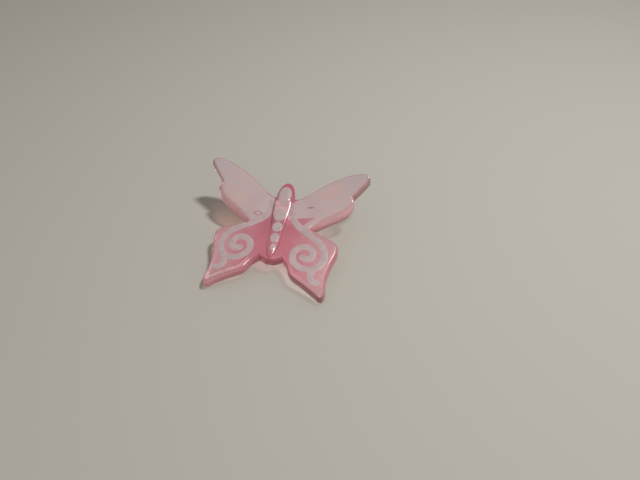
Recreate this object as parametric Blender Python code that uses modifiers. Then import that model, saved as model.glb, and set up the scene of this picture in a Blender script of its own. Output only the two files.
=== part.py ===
"""A doll's pacifier: a butterfly-shaped shield of clear pink plastic, printed in white, with a short
soft teat pushed into a socket on its back. It lies face up on its teat and its two hindwing tips.

Units are metres. The shield is drawn flat first: x runs across the wings, y towards the head, and
the plate's upper face is z = 0. bend() then dishes it, and the empty "rest_pose" leans the whole
pacifier back until its teat and its hindwing tips stand on z = 0.
"""

from math import asin, atan2, cos, hypot, pi, radians, sin

import bmesh
import bpy
from mathutils import Matrix, Vector
from mathutils.geometry import interpolate_bezier

# The plate and its rounded rim.
PLATE_THICKNESS = 0.0022
RIM_RADIUS = 0.0004

# Corners of the right wings, as (across, towards the head).
WING_ROOT = (0.0025, -0.0001)
FOREWING_TIP = (0.0161, 0.0049)
FOREWING_NOTCH = (0.0132, 0.0010)
WING_JUNCTION = (0.00635, -0.00655)
HINDWING_SHOULDER = (0.01205, -0.0103)
HINDWING_TIP = (0.0109, -0.0209)
TAIL_NOTCH = (0.0021, -0.0141)
TAIL_END = (0.0, -0.0149)

# How each edge bows outwards between two corners, as (share of the way, distance from the chord).
LEADING_BOW = [(0.08, 0.0002), (0.42, 0.0016), (0.73, 0.0020), (0.92, 0.0015), (0.985, 0.00085)]
OUTER_BOW = [(0.15, 0.00015), (0.5, 0.0001)]
TRAILING_BOW = [(0.02, 0.0007), (0.08, 0.0013), (0.29, 0.0017), (0.72, 0.0006)]
SHOULDER_BOW = [(0.32, 0.0004), (0.66, 0.0009), (0.88, 0.0008)]
HIND_OUTER_BOW = [(0.1, 0.0), (0.34, -0.0004), (0.62, -0.0004), (0.89, 0.0002), (0.967, 0.00014)]
HIND_INNER_BOW = [
    (0.014, 0.00036), (0.04, 0.00055), (0.15, 0.0006), (0.41, 0.0009), (0.66, 0.0012), (0.85, 0.0003),
]
TAIL_BOW = [(0.34, 0.00015), (0.71, 0.00025)]

# The dish of the plate: height = slope * x + x^2 / span + y^2 / length + x * y / twist, with x
# the distance from the centre line and y measured from the dish's low line.
RISE_SLOPE = 0.049
SPAN_BEND = -0.714
LENGTH_BEND = 0.1087
TWIST_BEND = 0.0806
DISH_LOW_LINE = -0.005
GRID_STEP = 0.002

# The round body, as (towards the head, half width), from the head's front to the tail.
BODY_PROFILE = [
    (0.0031, 0.0), (0.0029, 0.00055), (0.0023, 0.0011), (0.0014, 0.0015), (0.0001, 0.0018),
    (-0.0014, 0.00185), (-0.0034, 0.0017), (-0.006, 0.0014), (-0.009, 0.00125),
    (-0.0115, 0.0011), (-0.0132, 0.0008), (-0.0142, 0.0004), (-0.0144, 0.0),
]
BODY_FLATTENING = 0.8
BODY_FLOOR = 0.0001
BODY_STEPS = 32

# The socket on the back, and the teat whose stem fits in it.
TEAT_AHEAD = -0.0035
BOSS_RADIUS = 0.0029
BOSS_HEIGHT = 0.0009
BORE_DEPTH = 0.0017
STEM_RADIUS = 0.0016
STEM_LENGTH = 0.0015
STEM_CLEARANCE = 0.0001
NECK_RADIUS = 0.00135
NECK_DROP = 0.0003
BULB_RADIUS = 0.0016
BULB_START = radians(80)
BULB_STEPS = 8
TEAT_REACH = 0.0026
ROUND_STEPS = 40

# The white print: films that lie on the plate and on the body.
PRINT_GAP = 0.00006
PRINT_THICKNESS = 0.00008
LEADING_MARGIN = 0.00055
TRAILING_MARGIN = 0.0009
SCROLL_WIDTH = 0.0013
SCROLL_STEM = [
    (0.0024, -0.0016), (0.0024, -0.0032), (0.0030, -0.0048), (0.0041, -0.0060), (0.0054, -0.0069),
    (0.0070, -0.0079), (0.0086, -0.0090), (0.0097, -0.0104), (0.0100, -0.0121), (0.0095, -0.0138),
]
SCROLL_CENTRE = (0.0066, -0.0120)
SCROLL_OUTER_RADIUS = 0.00335
SCROLL_INNER_RADIUS = 0.00085
SCROLL_START = radians(-58)
SCROLL_TURN = radians(428)
SCROLL_TIGHTENING = 1.55
SCROLL_HOOK = [(0.0084, -0.0151), (0.0083, -0.0165), (0.0088, -0.0174), (0.0096, -0.0175)]
RIGHT_PRINT_SHIFT = (-0.00015, -0.0005)
LEFT_PRINT_SHIFT = (0.0, 0.0)
RIGHT_WINDOW = [(0.0027, -0.0048), (0.0066, -0.0041), (0.00415, -0.0066)]
LEFT_WINDOW = [(0.0054, -0.00465), (0.00475, -0.0041), (0.0039, -0.0044), (0.0045, -0.00505)]

# Print on the body, as (name, across, towards the head, half width, half length).
BODY_PRINTS = [
    ("head_print", 0.0, -0.0004, 0.0013, 0.0019),
    ("body_print_1", -0.0001, -0.0049, 0.0011, 0.00145),
    ("body_print_2", 0.0, -0.00765, 0.00095, 0.00115),
    ("body_print_3", 0.0001, -0.0102, 0.00085, 0.0011),
    ("body_print_4", 0.0002, -0.0123, 0.0005, 0.0008),
]
OVAL_STEPS = 28
SPIRAL_STEPS = 16
END_STEPS = 6

MERGE = 1e-7
FLAT_ANGLE = 0.01
SHARP_ANGLE = radians(40)
CROWDING = 0.99
CUTTER_DEPTH = 0.01
CUTTER_REACH = 0.03
EDGE_STEPS = 3
RIM_STEPS = 1


def new_collection(name):
    collection = bpy.data.collections.new(name)
    bpy.context.scene.collection.children.link(collection)
    return collection


def material(name, colour, roughness, transmission=0.0, alpha=1.0):
    made = bpy.data.materials.new(name)
    made.use_nodes = True
    shader = made.node_tree.nodes["Principled BSDF"]
    shader.inputs["Base Color"].default_value = (*colour, 1.0)
    shader.inputs["Roughness"].default_value = roughness
    shader.inputs["Metallic"].default_value = 0.0
    shader.inputs["Transmission Weight"].default_value = transmission
    shader.inputs["Alpha"].default_value = alpha
    return made


# Plane curves


def smooth(points, steps=EDGE_STEPS):
    """A smooth curve through the points, with this many steps from each one to the next."""
    points = [Vector((point[0], point[1], 0)) for point in points]
    ends = [points[0], *points, points[-1]]
    courses = [(after - before).normalized() for before, after in zip(ends, ends[2:])]
    curve = []
    for start, end, leaving, arriving in zip(points, points[1:], courses, courses[1:]):
        reach = (end - start).length / 3
        stretch = interpolate_bezier(
            start, start + leaving * reach, end - arriving * reach, end, steps + 1
        )
        curve += [point.xy for point in stretch[:-1]]
    return [*curve, points[-1].xy]


def bowed(start, end, bow):
    """The points of an edge from start up to end, bowed to the left of its direction."""
    start, end = Vector(start), Vector(end)
    along = end - start
    left = Vector((-along.y, along.x)).normalized()
    return [start] + [start + along * share + left * distance for share, distance in bow]


def beside(line, distance):
    """The curve this far to the right of a line, without the points that a tight bend crowds."""
    ends = [line[0], *line, line[-1]]
    moved = []
    for before, point, after in zip(ends, line, ends[2:]):
        along = (after - before).normalized()
        moved.append(point + Vector((along.y, -along.x)) * distance)
    nearest = CROWDING * abs(distance)
    return [point for point in moved if min((point - other).length for other in line) > nearest]


def fore_edges():
    """The right forewing's edge from its root to its notch, and from there to the junction."""
    ahead = bowed(WING_ROOT, FOREWING_TIP, LEADING_BOW)
    outer = bowed(FOREWING_TIP, FOREWING_NOTCH, OUTER_BOW)
    behind = bowed(FOREWING_NOTCH, WING_JUNCTION, TRAILING_BOW)
    return smooth([*ahead, *outer, FOREWING_NOTCH]), smooth([*behind, WING_JUNCTION])


def hind_edges():
    """The right hindwing's edge from the junction to the tail notch, and the half tail."""
    shoulder = bowed(WING_JUNCTION, HINDWING_SHOULDER, SHOULDER_BOW)
    outer = bowed(HINDWING_SHOULDER, HINDWING_TIP, HIND_OUTER_BOW)
    inner = bowed(HINDWING_TIP, TAIL_NOTCH, HIND_INNER_BOW)
    tail = bowed(TAIL_NOTCH, TAIL_END, TAIL_BOW)
    return smooth([*shoulder, *outer, *inner, TAIL_NOTCH]), smooth([*tail, TAIL_END], 2)


def plate_outline():
    lead, trail = fore_edges()
    hind, tail = hind_edges()
    right = lead[:-1] + trail[:-1] + hind[:-1] + tail
    left = [Vector((-point.x, point.y)) for point in reversed(right[:-1])]
    return right + left


def scroll_line():
    """The scroll's centre line: a stem from the wing's root that winds into a spiral."""
    centre = Vector(SCROLL_CENTRE)
    turns = []
    for step in range(SPIRAL_STEPS + 1):
        share = step / SPIRAL_STEPS
        angle = SCROLL_START - SCROLL_TURN * share
        spread = (SCROLL_OUTER_RADIUS - SCROLL_INNER_RADIUS) * (1 - share) ** SCROLL_TIGHTENING
        radius = SCROLL_INNER_RADIUS + spread
        turns.append(centre + radius * Vector((cos(angle), sin(angle))))
    return smooth([*SCROLL_STEM, *turns])


def ribbon(line, width):
    """The outline of a band of this width along a line, with round ends."""
    left, right = beside(line, -width / 2), beside(line, width / 2)
    far, near = round_end(line[-2], line[-1], width), round_end(line[1], line[0], width)
    return left + far + right[::-1] + near


def round_end(before, end, width):
    """The points of the half circle that closes a band past its end."""
    along = (end - before).normalized()
    start = atan2(along.x, -along.y)
    angles = [start - pi * step / END_STEPS for step in range(1, END_STEPS)]
    return [end + width / 2 * Vector((cos(angle), sin(angle))) for angle in angles]


def placed(points, side, shift=(0.0, 0.0)):
    """A shape drawn for the right wing, moved by a shift and put on the wing of a side."""
    return [(side * (x + shift[0]), y + shift[1]) for x, y in points]


# Solids in the flat frame


def baked(thing):
    """Replaces an object by the plain mesh that its curve or its modifiers make."""
    evaluated = thing.evaluated_get(bpy.context.evaluated_depsgraph_get())
    mesh = bpy.data.meshes.new_from_object(evaluated)
    made = bpy.data.objects.new(thing.name, mesh)
    name, owner = thing.name, thing.users_collection[0]
    made.matrix_world = thing.matrix_world
    bpy.data.objects.remove(thing)
    made.name = name
    owner.objects.link(made)
    weld(mesh)
    return made


def weld(mesh):
    shape = bmesh.new()
    shape.from_mesh(mesh)
    bmesh.ops.remove_doubles(shape, verts=shape.verts, dist=MERGE)
    bmesh.ops.recalc_face_normals(shape, faces=shape.faces)
    shape.to_mesh(mesh)
    shape.free()


def slab(name, collection, outline, low, high, rim=0.0):
    """A flat outline as a solid between two heights, its rims rounded where rim is given."""
    curve = bpy.data.curves.new(name, "CURVE")
    curve.dimensions = "2D"
    curve.fill_mode = "BOTH"
    curve.extrude = (high - low) / 2 - rim
    curve.bevel_depth = rim
    curve.offset = -rim
    curve.bevel_resolution = RIM_STEPS
    spline = curve.splines.new("POLY")
    spline.points.add(len(outline) - 1)
    for target, point in zip(spline.points, outline):
        target.co = (point[0], point[1], 0.0, 1.0)
    spline.use_cyclic_u = True
    made = bpy.data.objects.new(name, curve)
    collection.objects.link(made)
    made = baked(made)
    made.data.transform(Matrix.Translation((0, 0, (high + low) / 2)))
    return made


def turned(name, collection, profile, steps):
    """A solid of revolution about Z from (height, radius) pairs that run from top to bottom."""
    mesh = bpy.data.meshes.new(name)
    points = [(radius, 0.0, height) for height, radius in profile]
    mesh.from_pydata(points, [(n, n + 1) for n in range(len(points) - 1)], [])
    made = bpy.data.objects.new(name, mesh)
    collection.objects.link(made)
    screw = made.modifiers.new("turn", "SCREW")
    screw.steps = screw.render_steps = steps
    screw.use_merge_vertices = True
    screw.merge_threshold = MERGE
    return baked(made)


def body_solid(name, collection, grow=0.0):
    """The body as a flattened turned shape lying along Y, grown all round by a distance."""
    line = smooth(BODY_PROFILE, 2)
    front, back = line[0].x, line[-1].x
    stretch = 1 + 2 * grow / (front - back)
    wider = grow / BODY_FLATTENING
    profile = [
        (front + grow + (along - front) * stretch, radius + wider if radius > MERGE else 0.0)
        for along, radius in line
    ]
    made = turned(name, collection, profile, BODY_STEPS)
    made.data.transform(Matrix.Rotation(-pi / 2, 4, "X"))
    made.data.transform(Matrix.Diagonal((1, 1, BODY_FLATTENING, 1)))
    return made


def cut(thing, cutter, operation="DIFFERENCE"):
    """Cuts or joins two plain meshes now, and removes the second."""
    boolean = thing.modifiers.new(operation.lower(), "BOOLEAN")
    boolean.operation = operation
    boolean.object = cutter
    bpy.context.view_layer.update()
    thing = baked(thing)
    bpy.data.objects.remove(cutter)
    return thing


def rise(x, y):
    """The height of the dished plate's upper face."""
    across, along = abs(x), y - DISH_LOW_LINE
    return (
        RISE_SLOPE * across + across**2 / SPAN_BEND
        + along**2 / LENGTH_BEND + across * along / TWIST_BEND
    )


def bend(thing):
    """Divides a flat solid by a grid, and moves every point up or down with the dished plate."""
    shape = bmesh.new()
    shape.from_mesh(thing.data)
    bmesh.ops.dissolve_limit(shape, angle_limit=FLAT_ANGLE, verts=shape.verts, edges=shape.edges)
    for axis in (0, 1):
        values = [vertex.co[axis] for vertex in shape.verts]
        first, last = round(min(values) / GRID_STEP), round(max(values) / GRID_STEP)
        for line in range(first, last + 1):
            spot = Vector((0, 0, 0))
            spot[axis] = line * GRID_STEP
            normal = Vector((axis == 0, axis == 1, 0))
            everything = shape.verts[:] + shape.edges[:] + shape.faces[:]
            bmesh.ops.bisect_plane(
                shape, geom=everything, plane_co=spot, plane_no=normal, dist=MERGE
            )
    for vertex in shape.verts:
        vertex.co.z += rise(vertex.co.x, vertex.co.y)
    bmesh.ops.remove_doubles(shape, verts=shape.verts, dist=MERGE)
    shape.to_mesh(thing.data)
    shape.free()
    return thing


def finished(thing, surface, rest_pose):
    """Gives a part its material, its smooth shading and its place in the resting pacifier."""
    thing.data.materials.clear()
    thing.data.materials.append(surface)
    thing.data.shade_smooth()
    thing.data.set_sharp_from_angle(angle=SHARP_ANGLE)
    thing.parent = rest_pose
    return thing


# The pieces


def disc(name, collection, radius, low, high):
    """A round bar along Z at the teat's place."""
    bpy.ops.mesh.primitive_cylinder_add(
        vertices=ROUND_STEPS, radius=radius, depth=high - low,
        location=(0, TEAT_AHEAD, (high + low) / 2),
    )
    made = bpy.context.object
    made.name = name
    for owner in list(made.users_collection):
        owner.objects.unlink(made)
    collection.objects.link(made)
    return made


def boss_rim():
    """The height of the socket's open end, in the flat frame."""
    return rise(0, TEAT_AHEAD) - PLATE_THICKNESS - BOSS_HEIGHT


def shield(parts, cutters, rest_pose):
    """Plate, body and socket, moulded in one piece."""
    plate = slab("butterfly_shield", parts, plate_outline(), -PLATE_THICKNESS, 0, RIM_RADIUS)
    plate = bend(plate)
    body = body_solid("body", cutters)
    floor = slab("body_floor", cutters, square(CUTTER_REACH), -CUTTER_DEPTH, BODY_FLOOR - PLATE_THICKNESS)
    body = bend(cut(body, floor))
    boss = disc("boss", cutters, BOSS_RADIUS, boss_rim(), rise(0, TEAT_AHEAD) - PLATE_THICKNESS / 2)
    bore = disc(
        "bore", cutters, STEM_RADIUS + STEM_CLEARANCE,
        boss_rim() - PLATE_THICKNESS, boss_rim() + BORE_DEPTH,
    )
    for cutter, operation in ((body, "UNION"), (boss, "UNION"), (bore, "DIFFERENCE")):
        boolean = plate.modifiers.new(cutter.name, "BOOLEAN")
        boolean.operation = operation
        boolean.object = cutter
        cutter.parent = rest_pose
        cutter.hide_render = True
        cutter.display_type = "WIRE"
    return plate


def square(half):
    return [(-half, -half), (half, -half), (half, half), (-half, half)]


def teat(parts):
    """Stem, neck and bulb, turned about the socket's axis."""
    rim = boss_rim()
    tip = rim - TEAT_REACH
    centre = tip + BULB_RADIUS
    bulb = [
        (centre + BULB_RADIUS * cos(angle), BULB_RADIUS * sin(angle))
        for angle in (BULB_START + (pi - BULB_START) * step / BULB_STEPS for step in range(BULB_STEPS))
    ]
    stem = [(rim + STEM_LENGTH, 0.0), (rim + STEM_LENGTH, STEM_RADIUS), (rim, STEM_RADIUS)]
    neck = [(rim - NECK_DROP, NECK_RADIUS)]
    made = turned("teat", parts, [*stem, *neck, *bulb, (tip, 0.0)], ROUND_STEPS)
    made.data.transform(Matrix.Translation((0, TEAT_AHEAD, 0)))
    return made


def forewing_print(name, parts, cutters, side, shift, window):
    """The film over a forewing, with a clear margin, beside the scroll and round its window."""
    lead, trail = fore_edges()
    root_line = placed(smooth(SCROLL_STEM)[: 4 * EDGE_STEPS], 1, shift)
    outline = (
        beside(lead[2:], LEADING_MARGIN) + beside(trail[:-3], TRAILING_MARGIN) + root_line[::-1]
    )
    film = slab(name, parts, placed(outline, side), PRINT_GAP, PRINT_GAP + PRINT_THICKNESS)
    scroll = placed(ribbon(scroll_line(), SCROLL_WIDTH + 2 * PRINT_GAP), side, shift)
    for shape in (scroll, placed(window, side)):
        film = cut(film, slab(f"{name}_cut", cutters, shape, -CUTTER_DEPTH, CUTTER_DEPTH))
    return bend(cut(film, body_solid("body_gap", cutters, PRINT_GAP)))


def hindwing_print(name, parts, cutters, side, shift):
    """The scroll: a band from the wing's root that winds up on the hindwing, with a hook."""
    low, high = PRINT_GAP, PRINT_GAP + PRINT_THICKNESS
    band = placed(ribbon(scroll_line(), SCROLL_WIDTH), side, shift)
    hook = placed(ribbon(smooth(SCROLL_HOOK), SCROLL_WIDTH), side, shift)
    scroll = slab(name, parts, band, low, high)
    scroll = cut(scroll, slab(f"{name}_hook", cutters, hook, low, high), "UNION")
    return bend(cut(scroll, body_solid("body_gap", cutters, PRINT_GAP)))


def body_print(parts, cutters, name, across, ahead, half_width, half_length):
    """An oval patch of film on the round of the body."""
    angles = [2 * pi * step / OVAL_STEPS for step in range(OVAL_STEPS)]
    oval = [(across + half_width * cos(angle), ahead + half_length * sin(angle)) for angle in angles]
    patch = slab(name, parts, oval, PRINT_THICKNESS, CUTTER_DEPTH)
    over = body_solid("over", cutters, PRINT_GAP + PRINT_THICKNESS)
    patch = cut(patch, over, "INTERSECT")
    return bend(cut(patch, body_solid("under", cutters, PRINT_GAP)))


def rest_lean():
    """The lean at which the teat's round end and the hindwing tips touch one plane."""
    centre_y = TEAT_AHEAD
    centre_z = boss_rim() - TEAT_REACH + BULB_RADIUS
    tip_y = HINDWING_TIP[1]
    tip_z = rise(*HINDWING_TIP) - PLATE_THICKNESS
    distance = hypot(centre_y - tip_y, centre_z - tip_z)
    return asin(BULB_RADIUS / distance) - atan2(centre_z - tip_z, centre_y - tip_y)


def stand_on_table(rest_pose, pieces):
    """Leans the pacifier back, and puts the middle of its underside on the origin."""
    rest_pose.rotation_euler = (rest_lean(), 0, 0)
    bpy.context.view_layer.update()
    graph = bpy.context.evaluated_depsgraph_get()
    corners = []
    for piece in pieces:
        evaluated = piece.evaluated_get(graph)
        mesh = evaluated.to_mesh()
        corners += [evaluated.matrix_world @ vertex.co for vertex in mesh.vertices]
        evaluated.to_mesh_clear()
    low = [min(corner[axis] for corner in corners) for axis in range(3)]
    high = [max(corner[axis] for corner in corners) for axis in range(3)]
    rest_pose.location = (-(low[0] + high[0]) / 2, -(low[1] + high[1]) / 2, -low[2])


def main():
    for leftover in list(bpy.data.objects):
        bpy.data.objects.remove(leftover)
    parts = new_collection("pacifier")
    cutters = new_collection("cutters")
    rest_pose = bpy.data.objects.new("rest_pose", None)
    rest_pose.empty_display_size = 0.01
    parts.objects.link(rest_pose)
    pink = material("clear_pink_plastic", (0.62, 0.16, 0.21), 0.12, transmission=0.6)
    soft = material("clear_soft_rubber", (0.85, 0.72, 0.66), 0.35, transmission=0.5)
    veil = material("thin_white_print", (0.66, 0.52, 0.50), 0.25, alpha=0.8)
    white = material("white_print", (0.62, 0.55, 0.55), 0.25)
    pieces = [
        finished(shield(parts, cutters, rest_pose), pink, rest_pose),
        finished(teat(parts), soft, rest_pose),
    ]
    wings = [("left", -1, LEFT_PRINT_SHIFT, LEFT_WINDOW), ("right", 1, RIGHT_PRINT_SHIFT, RIGHT_WINDOW)]
    for label, side, shift, window in wings:
        film = forewing_print(f"{label}_forewing_print", parts, cutters, side, shift, window)
        scroll = hindwing_print(f"{label}_hindwing_print", parts, cutters, side, shift)
        pieces += [finished(film, veil, rest_pose), finished(scroll, white, rest_pose)]
    for values in BODY_PRINTS:
        pieces.append(finished(body_print(parts, cutters, *values), white, rest_pose))
    stand_on_table(rest_pose, pieces)


main()
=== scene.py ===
"""The looks of a doll's pacifier: a butterfly-shaped shield of clear pink plastic, printed in white.

Lengths are metres. The shield is drawn flat first, as the CAD is: x runs across the wings, y towards
the head, and the plate's upper face is z = 0. bend() dishes it, and every piece's mesh is then moved
to the CAD's resting pose. The materials read their places back in the flat frame.
"""

from math import asin, atan2, copysign, cos, hypot, pi, radians, sin
from types import SimpleNamespace

import bmesh
import bpy
from mathutils import Matrix, Vector
from mathutils.bvhtree import BVHTree
from mathutils.geometry import interpolate_bezier
from mathutils.kdtree import KDTree

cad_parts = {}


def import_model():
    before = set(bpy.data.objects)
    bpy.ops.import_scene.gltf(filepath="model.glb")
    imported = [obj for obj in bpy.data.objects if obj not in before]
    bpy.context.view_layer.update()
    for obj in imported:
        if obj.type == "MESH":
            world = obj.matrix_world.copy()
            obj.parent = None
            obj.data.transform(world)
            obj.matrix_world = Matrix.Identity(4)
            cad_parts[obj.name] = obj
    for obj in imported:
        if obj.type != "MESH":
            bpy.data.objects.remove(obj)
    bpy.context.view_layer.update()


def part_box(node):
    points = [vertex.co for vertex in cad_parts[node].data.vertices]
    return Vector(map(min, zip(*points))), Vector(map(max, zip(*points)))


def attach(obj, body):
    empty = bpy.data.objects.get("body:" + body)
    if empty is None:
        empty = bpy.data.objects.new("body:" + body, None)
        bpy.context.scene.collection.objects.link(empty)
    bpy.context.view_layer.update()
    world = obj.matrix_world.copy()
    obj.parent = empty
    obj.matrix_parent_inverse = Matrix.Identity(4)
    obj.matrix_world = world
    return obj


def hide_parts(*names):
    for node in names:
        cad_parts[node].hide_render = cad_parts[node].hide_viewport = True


# The plate and its rounded rim.
PLATE_THICKNESS = 0.0022
RIM_RADIUS = 0.0004

# Corners of the right wings, as (across, towards the head).
WING_ROOT = (0.0025, -0.0001)
FOREWING_TIP = (0.0161, 0.0049)
FOREWING_NOTCH = (0.0132, 0.0010)
WING_JUNCTION = (0.00635, -0.00655)
HINDWING_SHOULDER = (0.01205, -0.0103)
HINDWING_TIP = (0.0109, -0.0209)
TAIL_NOTCH = (0.0021, -0.0141)
TAIL_END = (0.0, -0.0149)

# How each edge bows outwards between two corners, as (share of the way, distance from the chord).
LEADING_BOW = [(0.08, 0.0002), (0.42, 0.0016), (0.73, 0.0020), (0.92, 0.0015), (0.985, 0.00085)]
OUTER_BOW = [(0.15, 0.00015), (0.5, 0.0001)]
TRAILING_BOW = [(0.02, 0.0007), (0.08, 0.0013), (0.29, 0.0017), (0.72, 0.0006)]
SHOULDER_BOW = [(0.32, 0.0004), (0.66, 0.0009), (0.88, 0.0008)]
HIND_OUTER_BOW = [(0.1, 0.0), (0.34, -0.0004), (0.62, -0.0004), (0.89, 0.0002), (0.967, 0.00014)]
HIND_INNER_BOW = [
    (0.014, 0.00036), (0.04, 0.00055), (0.15, 0.0006), (0.41, 0.0009), (0.66, 0.0012), (0.85, 0.0003),
]
TAIL_BOW = [(0.34, 0.00015), (0.71, 0.00025)]

# The dish of the plate, and how far in its upper edge is rounded off: on the sides, and on the
# edges of the fore- and hindwings that look away from the head.
RISE_SLOPE = 0.049
SPAN_BEND = -0.714
LENGTH_BEND = 0.1087
TWIST_BEND = 0.0806
DISH_LOW_LINE = -0.005
SIDE_ROUND = 0.00055
FORE_ROUND = 0.0012
HIND_ROUND = 0.00055
# Behind HIND_START the hindwings' width holds, ahead of FORE_START the forewings'. An edge has the
# whole of it once this share of its course runs across, and the sides' width where none does.
HIND_START = -0.0075
FORE_START = -0.0050
FRONT_SHARE = 0.6

# The round body, as (towards the head, half width), from the head's front to the tail.
BODY_PROFILE = [
    (0.0031, 0.0), (0.0029, 0.00055), (0.0023, 0.0011), (0.0014, 0.0015), (0.0001, 0.0018),
    (-0.0014, 0.00185), (-0.0034, 0.0017), (-0.006, 0.0014), (-0.009, 0.00125),
    (-0.0115, 0.0011), (-0.0132, 0.0008), (-0.0142, 0.0004), (-0.0144, 0.0),
]
# Along it, as (towards the head, squareness, height as a share of the half width).
BODY_SECTIONS = [
    (0.0031, 2.0, 0.8), (-0.0008, 2.0, 0.8), (-0.0028, 5.0, 0.66), (-0.0050, 5.5, 0.66),
    (-0.0066, 4.8, 0.7), (-0.0144, 4.0, 0.74),
]
BODY_FLOOR = 0.0001
BODY_FOOT = 0.0002

# The socket on the back, and the teat whose stem fits in it.
TEAT_AHEAD = -0.0035
BOSS_RADIUS = 0.0029
BOSS_HEIGHT = 0.0009
BORE_DEPTH = 0.0017
STEM_RADIUS = 0.0016
STEM_LENGTH = 0.0015
STEM_CLEARANCE = 0.0001
NECK_RADIUS = 0.00135
NECK_DROP = 0.0003
BULB_RADIUS = 0.0016
BULB_START = radians(80)
TEAT_REACH = 0.0026

# The white print: the forewings' film with its margins, the scrolls, and the ovals on the body, as
# (name, across, ahead, half width, half length).
VEIL_THICKNESS = 0.00003
BAND_THICKNESS = 0.00005
LEADING_MARGIN = 0.00055
TRAILING_MARGIN = 0.0009
SCROLL_WIDTH = 0.0013
SCROLL_STEM = [
    (0.0024, -0.0016), (0.0024, -0.0032), (0.0030, -0.0048), (0.0041, -0.0060), (0.0054, -0.0069),
    (0.0070, -0.0079), (0.0086, -0.0090), (0.0097, -0.0104), (0.0100, -0.0121), (0.0095, -0.0138),
]
SCROLL_CENTRE = (0.0066, -0.0120)
SCROLL_OUTER_RADIUS = 0.00335
SCROLL_INNER_RADIUS = 0.00085
SCROLL_START = radians(-58)
SCROLL_TURN = radians(428)
SCROLL_TIGHTENING = 1.55
SCROLL_HOOK = [(0.0084, -0.0151), (0.0083, -0.0165), (0.0088, -0.0174), (0.0096, -0.0175)]
RIGHT_PRINT_SHIFT = (-0.00015, -0.0005)
LEFT_PRINT_SHIFT = (0.0, 0.0)
RIGHT_WINDOW = [(0.0027, -0.0048), (0.0066, -0.0041), (0.00415, -0.0066)]
BODY_PRINTS = [
    ("head_print", 0.0, -0.0004, 0.0013, 0.0019),
    ("body_print_1", -0.0001, -0.0049, 0.0011, 0.00145),
    ("body_print_2", 0.0, -0.00765, 0.00095, 0.00115),
    ("body_print_3", 0.0001, -0.0102, 0.00085, 0.0011),
    ("body_print_4", 0.0002, -0.0123, 0.0005, 0.0008),
]
FILM_ROOT = [(0.0021, -0.0026), (0.0020, -0.0016), (0.0021, -0.0007)]
FILM_LAP = 0.0003
FILM_SINK = 0.00002
# A film's edge has this share of its thickness, and reaches the whole this far in.
EDGE_SHARE = 0.35
EDGE_WIDTH = 0.00016

# How the meshes are made: steps, grids, and the reach of slabs and cutters.
EDGE_STEPS = 8
PROFILE_STEPS = 6
BODY_STEPS = 96
ROUND_STEPS = 96
BULB_STEPS = 16
RIM_STEPS = 4
OVAL_STEPS = 64
SPIRAL_STEPS = 16
END_STEPS = 14
GRID_STEP = 0.0005
FILM_STEP = 0.0004
SPOT_STEP = FILM_STEP / 4
VOXEL = 0.00008
SOFTENING_ROUNDS = 10
MERGE = 1e-7
CROWDING = 0.99
CUTTER_DEPTH = 0.01
CUTTER_REACH = 0.03
SHARP_ANGLE = radians(50)

# Where along their curves the film's front edge starts, the scroll's stem borders the film, and the
# scroll lies over the film's cut-out.
FILM_LEAD_START = 2 * EDGE_STEPS // 3
FILM_STEM_STRETCH = slice(EDGE_STEPS, 4 * EDGE_STEPS)
UNDER_SCROLL_START = 2 * EDGE_STEPS

# The plastic's colours. Along the outline run a pale band that is a painted reflection, paler
# forewing edges that are painted light, and OUTER; the thorax tone is a painted reflection; the
# hindwing tips' tone and the foot tone are painted shade, the specks tone is a painted highlight, and
# the deep tone by the body is partly painted shade. On the walls, the wall and side tones are a
# painted glow, END is darker and SHADE is painted shade. The shadows are what is left of a lamp's
# light behind it.
PLASTIC_DEEP = (0.645, 0.24, 0.295)
PLASTIC_PALE = (0.69, 0.39, 0.405)
PLASTIC_RIM_REFLECTION = (0.74, 0.47, 0.475)
PLASTIC_EDGE_LIGHT = (0.73, 0.56, 0.55)
PLASTIC_WALL_GLOW = (1.0, 0.64, 0.68)
PLASTIC_END = (0.62, 0.40, 0.40)
PLASTIC_OUTER = (0.66, 0.27, 0.325)
PLASTIC_THORAX_REFLECTION = (0.84, 0.60, 0.60)
PLASTIC_TIP_SHADE = (0.50, 0.29, 0.31)
PLASTIC_HEAD = (0.66, 0.15, 0.22)
PLASTIC_SIDE_GLOW = (0.92, 0.53, 0.55)
PLASTIC_SHADE = (0.36, 0.17, 0.18)
PLASTIC_FOOT_SHADE = (0.28, 0.13, 0.14)
PLASTIC_GLINT = (0.98, 0.84, 0.84)
PLASTIC_CLEARNESS = 0.5
PLASTIC_TINT = (0.96, 0.62, 0.68)
PLASTIC_DENSITY = 160.0
FLAT_SHADOW = (0.79, 0.70, 0.66)
RIM_SHADOW = (0.06, 0.05, 0.05)
TAIL_SHADOW = (0.86, 0.97, 0.96)
TAIL_RIM_SHADOW = (0.93, 0.93, 0.93)

# Where the plastic's tones grow or fade: spans across, ahead and sideways (to the right) in metres,
# inwards from the outline in INSET_UNIT, and of the normal's upward part. A tone's strength is its
# largest share of the colour.
INSET_UNIT = 0.001
NOISE_SPAN = (0.3, 0.7)
CLOUD_SCALE = 260.0
CLOUD_SHIFT = 0.0012
PALE_ACROSS = (0.002, 0.0105)
RIM_START_INSET = (0.15, 0.35)
RIM_END_INSET = (0.7, 1.2)
RIM_ACROSS = (0.003, 0.006)
RIM_STRENGTH = 0.7
TIP_AHEAD = (-0.0205, -0.0165)
TIP_STRENGTH = 0.6
EDGE_INSET = (0.5, 0.9)
EDGE_AHEAD = (-0.0065, -0.0045)
EDGE_ACROSS = (0.0025, 0.0045)
EDGE_STRENGTH = 0.85
OUTER_INSET = (0.2, 0.5)
OUTER_STRENGTH = 0.85
THORAX_START_AHEAD = (-0.0056, -0.0046)
THORAX_END_AHEAD = (-0.0022, -0.0014)
THORAX_ACROSS = (0.0012, 0.0019)
HEAD_AHEAD = (-0.0012, 0.0004)
HEAD_ACROSS = (0.0018, 0.0026)
HEAD_STRENGTH = 0.8
HIND_AHEAD = (-0.0068, -0.0060)
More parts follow.
